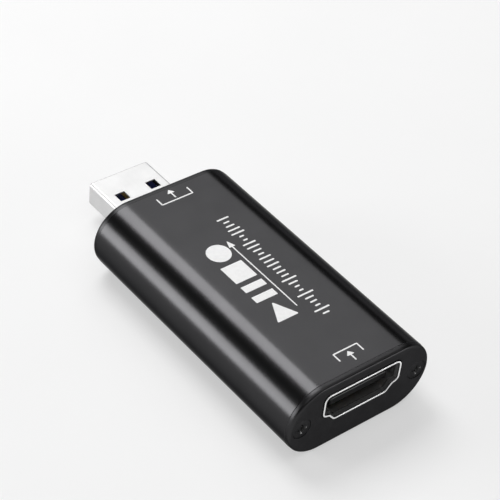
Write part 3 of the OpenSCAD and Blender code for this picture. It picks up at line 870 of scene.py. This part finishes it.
def plug_stations():
    """Stations and offsets of the folded sheet, out along its drawn-in tip and back inside."""
    tip = [(X_TIP + behind * TIP_DRAW, -drop * TIP_DRAW) for behind, drop in TIP_CURVE]
    lip = [(X_TIP, TIP_LIP - PLUG_SHEET), (X_TIP + TIP_LIP_L, -PLUG_SHEET)]
    return [(X_PLUG_REAR, 0.0)] + tip + lip + [(X_PLUG_REAR, -PLUG_SHEET)]


def plug_window(bm, x, y, z):
    """Block that cuts one latch window out of a wall at height z."""
    half = WINDOW / 2
    reach = 2 * PLUG_SHEET
    bar(bm, (x - half, y - half, z - reach), (x + half, y + half, z + reach), WINDOW_CORNER)


def plug_tab(bm, x, side):
    """Tab that stands out of one side of the shell onto the board, with its leg."""
    inner = PLUG_W / 2 - PLUG_SHEET / 2
    outer = PLUG_W / 2 + PLUG_TAB_W
    y0, y1 = sorted((side * inner, side * outer))
    bar(bm, (x - LEG_L / 2, y0, BOARD_TOP), (x + LEG_L / 2, y1, BOARD_TOP + PLUG_SHEET))
    leg(bm, x, side * (outer - PLUG_SHEET / 2), PLUG_SHEET, BOARD_TOP + PLUG_LEG_LAP)


def make_plug_shell():
    """Folded shell with a drawn-in tip, four latch windows, a seam, side tabs and legs."""
    bm = bmesh.new()
    loft(bm, [place(plug_outline(grow), x, PLUG_Z) for x, grow in plug_stations()], ring=True)
    shell = new_object("plug_shell_folded", bm)
    cuts = bmesh.new()
    for face in (-1, 1):
        for side in (-1, 1):
            plug_window(cuts, X_TIP + WINDOW_X, side * WINDOW_Y, PLUG_Z + face * PLUG_H / 2)
    seam_low = (X_TIP - SEAM_PAST, -SEAM_W / 2, PLUG_FLOOR - SEAM_REACH)
    seam_high = (X_PLUG_REAR + SEAM_PAST, SEAM_W / 2, PLUG_FLOOR + SEAM_REACH)
    bar(cuts, seam_low, seam_high)
    combine(shell, cuts, "DIFFERENCE")
    tabs = bmesh.new()
    for side in (-1, 1):
        plug_tab(tabs, X_SLEEVE0 + LIP_L + BOARD_GAP + PLUG_LEG_X, side)
    combine(shell, tabs, "UNION")
    soften(shell, PLUG_BEVEL)
    dress(shell, "plug_steel", "plug_shell")
    # The inward faces behind the tip get the darker steel: painted shade inside the plug
    second_finish(shell, "plug_inside_painted_shade", inward(X_TIP + TIP_PLAIN, X_PLUG_REAR, PLUG_Z))


def make_plug_insulator():
    """Blue block and tongue of the plug."""
    ends = (X_PLUG_REAR - PLUG_BLOCK_L, X_PLUG_REAR)
    block = [place(plug_outline(-PLUG_SHEET - FILL_GAP), x, PLUG_Z) for x in ends]
    low = PLUG_FLOOR + PLUG_SHEET + FILL_GAP
    high = PLUG_FLOOR + PLUG_SHEET + PLUG_TONGUE_T
    mid = (low + high) / 2
    width = PLUG_W - 2 * (PLUG_SHEET + PLUG_CORNER / 2 + FILL_GAP)
    size = (width, high - low, PLUG_TONGUE_EDGE)
    front = quarter(X_TIP + PLUG_TONGUE_IN, -1, PLUG_TONGUE_EDGE)
    stations = front + [(X_PLUG_REAR - TONGUE_HOLD, 0.0)]
    tongue = [place(tongue_section(*size, grow), x, mid) for x, grow in stations]
    make_insulator("plug_tongue", "plug_insulator", "plug_plastic", block, tongue)


make_sleeve()
make_plate("plate_input", "input_end_plate", X_SLEEVE1, 1, socket_hole, SOCKET_Z)
make_plate("plate_output", "output_end_plate", X_SLEEVE0, -1, plug_hole, PLUG_Z)
make_screws("screws_input", "input_plate_screws", X_IN, 1)
make_screws("screws_output", "output_plate_screws", X_OUT, -1)
make_socket_shell()
make_socket_insulator()
make_plug_shell()
make_plug_insulator()

# White print on the top: plain pictograms and flow marks, no words
INK_T = 0.012
INK_STEPS = 4
INK_CORNER = 0.1
POINTER_CORNER = 0.15
ARROW_CORNER = 0.08
ARROW_NOTCH = 0.03
TRAY_CORNER = 0.25
TRAY_END = 0.12
TRAY_NOTCH = 0.05


def make_print(name, shapes):
    """Thin inked shapes on the sleeve's flat top, each an outline in X and Y in millimetres."""
    bm = bmesh.new()
    levels = (BODY_H - INK_T, BODY_H + INK_T)
    for shape in shapes:
        solid(bm, [[Vector((p.x, p.y, z)) * MM for p in shape] for z in levels])
    dress(new_object(name, bm), "print_ink")


def ink_box(x0, x1, y0, y1, radius=INK_CORNER):
    """Rectangle with round corners."""
    loop = rounded_box(abs(x1 - x0), abs(y1 - y0), radius, 0.0, INK_STEPS)
    return moved(loop, (x0 + x1) / 2, (y0 + y1) / 2)


def ink_pointer(x_tip, length, y, half):
    """Triangle that points towards the plug."""
    corners = [(x_tip, y), (x_tip + length, y - half), (x_tip + length, y + half)]
    return rounded(corners, [POINTER_CORNER] * 3, 0.0, INK_STEPS)


def ink_arrow(tip, tail, y, head, half, line):
    """Arrow along X that points towards the plug, in one outline."""
    neck = tip + head
    side = line / 2
    corners = [(tip, y), (neck, y - half), (neck, y - side), (tail, y - side)]
    corners += [(tail, y + side), (neck, y + side), (neck, y + half)]
    radii = [ARROW_CORNER, ARROW_CORNER, ARROW_NOTCH, ARROW_CORNER]
    radii += [ARROW_CORNER, ARROW_NOTCH, ARROW_CORNER]
    return rounded(corners, radii, 0.0, INK_STEPS)


def ink_tray(x_back, x_open, y0, y1, line):
    """Three-sided tray that is open at one end along X, in one outline."""
    way = 1 if x_open > x_back else -1
    x_in = x_back + way * line
    corners = [(x_back, y0), (x_open, y0), (x_open, y0 + line), (x_in, y0 + line)]
    corners += [(x_in, y1 - line), (x_open, y1 - line), (x_open, y1), (x_back, y1)]
    half = [TRAY_CORNER, TRAY_END, TRAY_END, TRAY_NOTCH]
    if way < 0:
        corners.reverse()
    return rounded(corners, half + half[::-1], 0.0, INK_STEPS)


def make_symbols():
    """Bold row of playback signs: start, pause, stop and record."""
    side = 4.15
    gap = 1.02
    from_face = 14.85
    y0 = -4.95
    y1 = y0 + side
    mid = (y0 + y1) / 2
    bar_w = 1.45
    start, pause, stop, record = [X_IN - from_face - side - i * (side + gap) for i in range(4)]
    shapes = [ink_pointer(start, side, mid, side / 2)]
    shapes.append(ink_box(pause, pause + bar_w, y0, y1))
    shapes.append(ink_box(pause + side - bar_w, pause + side, y0, y1))
    shapes.append(ink_box(stop, stop + side, y0, y1))
    shapes.append(circle((record + side / 2, mid), side / 2, steps=40))
    make_print("print_signs", shapes)


def make_flow_arrow():
    """Thin arrow from the socket's side towards the plug."""
    tail = X_IN - 16.3
    tip = X_IN - 34.2
    arrow = ink_arrow(tip, tail, y=0.0, head=1.6, half=0.6, line=0.22)
    make_print("print_flow_arrow", [arrow])


def make_wave():
    """Row of thin strokes that rise and fall like a signal, from a slow and a quick wave."""
    first = X_IN - 12.7
    last = X_IN - 38.9
    count = 27
    pitch = (last - first) / (count - 1)
    mid = 2.85
    line = 0.32
    least = 0.35
    rise = 1.3
    slow_share = 0.62
    slow_turn = 0.9
    slow_start = 0.4
    quick_turn = 2.3
    shapes = []
    for i in range(count):
        x = first + i * pitch
        slow = slow_share * math.sin(slow_turn * i + slow_start)
        quick = (1 - slow_share) * math.sin(quick_turn * i)
        half = least + rise * abs(slow + quick)
        shapes.append(ink_box(x - line / 2, x + line / 2, mid - half, mid + half, POINTER_CORNER))
    make_print("print_wave", shapes)


def make_port_sign(name, x, y, width, height, into):
    """Tray with an arrow that enters it or leaves it along X."""
    line = 0.25
    arm_short = 0.7
    arrow_gap = 0.65
    arrow_out = 0.3
    low = x - height / 2
    high = x + height / 2
    y0 = y - width / 2
    y1 = y + width / 2
    if into:
        tray = ink_tray(low, high - arm_short, y0, y1, line)
        ends = (low + arrow_gap, high + arrow_out)
    else:
        tray = ink_tray(high, low + arm_short, y0, y1, line)
        ends = (low - arrow_out, high - arrow_gap)
    make_print(name, [tray, ink_arrow(*ends, y, head=0.9, half=0.75, line=line)])


make_symbols()
make_flow_arrow()
make_wave()
make_port_sign("print_input_sign", x=X_IN - 3.8, y=0.0, width=4.9, height=2.5, into=True)
make_port_sign("print_output_sign", x=X_IN - 48.0, y=-0.3, width=6.4, height=2.5, into=False)


# Pale sweep in metres: a floor that turns up into a low wall far behind the part
def make_sweep():
    """Wide round floor with a low wall; far from the part its paper shows as plain white."""
    bm = bmesh.new()
    rings = [0.02, 0.06, 0.12, 0.2, 0.3, 0.45, 0.65, 0.9, 1.1]
    cove = 0.1
    wall_top = 0.3
    steps = 96
    turns = [math.radians(a) for a in range(15, 91, 15)]
    profile = [(r, 0.0) for r in rings]
    profile += [(rings[-1] + cove * math.sin(a), cove * (1 - math.cos(a))) for a in turns]
    profile.append((rings[-1] + cove, wall_top))
    angles = [2 * math.pi * i / steps for i in range(steps)]
    loops = [[Vector((r * math.cos(a), r * math.sin(a), z)) for a in angles] for r, z in profile]
    rows = loft(bm, loops)
    fill(bm, rows[0])
    sweep = new_object("floor_sweep", bm)
    sweep.data.shade_smooth()
    sweep.data.materials.append(sweep_paper())


def sweep_paper():
    """Matt white paper that fades to an even white with distance, as seen or mirrored."""
    fade_from = 0.06
    fade_to = 0.36
    near_share = 0.5
    white_level = 0.96
    material, tree, shader = new_shader("sweep_paper")
    shader.inputs["Specular IOR Level"].default_value = 0.1
    cloud = noise(tree, size=30.0, detail=COARSE_DETAIL)
    fibre = noise(tree, size=2.0, detail=COARSE_DETAIL)
    tooth = noise(tree, size=0.4, detail=FINE_DETAIL)
    vary_colour(tree, shader, cloud, tones=(grey(0.85), grey(0.87)))
    vary_roughness(tree, shader, fibre, rough=(0.85, 0.95))
    raise_grain(tree, shader, tooth, strength=0.05, height=0.01)
    place_node = tree.nodes.new("ShaderNodeTexCoord")
    distance = tree.nodes.new("ShaderNodeVectorMath")
    distance.operation = "LENGTH"
    tree.links.new(place_node.outputs["Object"], distance.inputs[0])
    radius = distance.outputs["Value"]
    fade = map_range(tree, radius, (fade_from, fade_to), (near_share, 1.0), "SMOOTHSTEP")
    rays = tree.nodes.new("ShaderNodeLightPath").outputs
    seen = math_node(tree, "ADD", rays["Is Camera Ray"], rays["Is Glossy Ray"])
    shown = math_node(tree, "ADD", seen, rays["Is Transmission Ray"], clamp=True)
    white = tree.nodes.new("ShaderNodeEmission")
    white.inputs["Color"].default_value = (*grey(white_level), 1)
    mix = tree.nodes.new("ShaderNodeMixShader")
    tree.links.new(math_node(tree, "MULTIPLY", fade, shown), mix.inputs["Fac"])
    tree.links.new(shader.outputs["BSDF"], mix.inputs[1])
    tree.links.new(white.outputs["Emission"], mix.inputs[2])
    tree.links.new(mix.outputs["Shader"], tree.nodes["Material Output"].inputs["Surface"])
    return material


make_sweep()

# Light
LAMP_DISTANCE = 0.5
LENGTHWISE = (1, 0, 0)
CROSSWISE = (0, 1, 0)
WORLD_LEVEL = 0.08


def matrix_of(right, up, back, location):
    """World matrix from three axes and a place."""
    matrix = Matrix((right, up, back)).transposed().to_4x4()
    matrix.translation = location
    return matrix


def lamp_side(angle):
    """Side of a lamp, in metres, that spans an angle in degrees as seen from the part."""
    return 2 * LAMP_DISTANCE * math.tan(math.radians(angle / 2))


def make_lamp(name, towards, along, length, width, radiance):
    """Soft rectangular lamp in a direction from the part, with its length along an axis."""
    back = Vector(towards).normalized()
    axis = Vector(along)
    right = (axis - back * axis.dot(back)).normalized()
    up = back.cross(right)
    lamp = bpy.data.lights.new(name, "AREA")
    lamp.shape = "RECTANGLE"
    lamp.size = lamp_side(length)
    lamp.size_y = lamp_side(width)
    lamp.energy = radiance * math.pi * lamp.size * lamp.size_y
    obj = bpy.data.objects.new(name, lamp)
    obj.matrix_world = matrix_of(right, up, back, back * LAMP_DISTANCE + Vector((0, 0, MID_Z * MM)))
    bpy.context.collection.objects.link(obj)


def beyond(lean):
    """Direction past the plug that leans by an angle in degrees from upright towards +Y."""
    along = 0.558
    rest = math.sqrt(1 - along ** 2)
    turn = math.radians(lean)
    return (-along, rest * math.sin(turn), rest * math.cos(turn))


make_lamp("lamp_top", beyond(35.0), LENGTHWISE, length=30.0, width=26.0, radiance=2.0)
make_lamp("lamp_streak_high", beyond(1.3), LENGTHWISE, length=30.0, width=27.0, radiance=7.3)
make_lamp("lamp_streak_low", beyond(-77.0), LENGTHWISE, length=30.0, width=26.0, radiance=7.3)
make_lamp("lamp_edge", (0.84, 0.52, 0.17), CROSSWISE, length=24.0, width=11.0, radiance=4.6)
make_lamp("lamp_fill", (0.25, -0.02, 0.96), CROSSWISE, length=70.0, width=44.0, radiance=1.05)

world = bpy.data.worlds.new("studio")
world.use_nodes = True
world.node_tree.nodes["Background"].inputs["Color"].default_value = (*grey(WORLD_LEVEL), 1)
bpy.context.scene.world = world


# Camera
def make_camera():
    """Camera at the photograph's viewing angle."""
    azimuth = math.radians(42.79)
    elevation = math.radians(40.49)
    roll = math.radians(7.03)
    distance = 294.6
    aim = Vector((-9.20, 11.67, 0.71))
    flat = math.cos(elevation)
    back = Vector((flat * math.cos(azimuth), -flat * math.sin(azimuth), math.sin(elevation)))
    level = Vector((0, 0, 1)).cross(back).normalized()
    upright = back.cross(level)
    right = level * math.cos(roll) + upright * math.sin(roll)
    up = back.cross(right)
    lens = bpy.data.cameras.new("camera")
    lens.sensor_width = 36.0
    lens.lens = 124.9
    lens.clip_start = 0.01
    lens.clip_end = 50.0
    camera = bpy.data.objects.new("camera", lens)
    camera.matrix_world = matrix_of(right, up, back, (aim + back * distance) * MM)
    bpy.context.collection.objects.link(camera)
    bpy.context.scene.camera = camera


make_camera()
bpy.context.scene.view_settings.view_transform = "Standard"
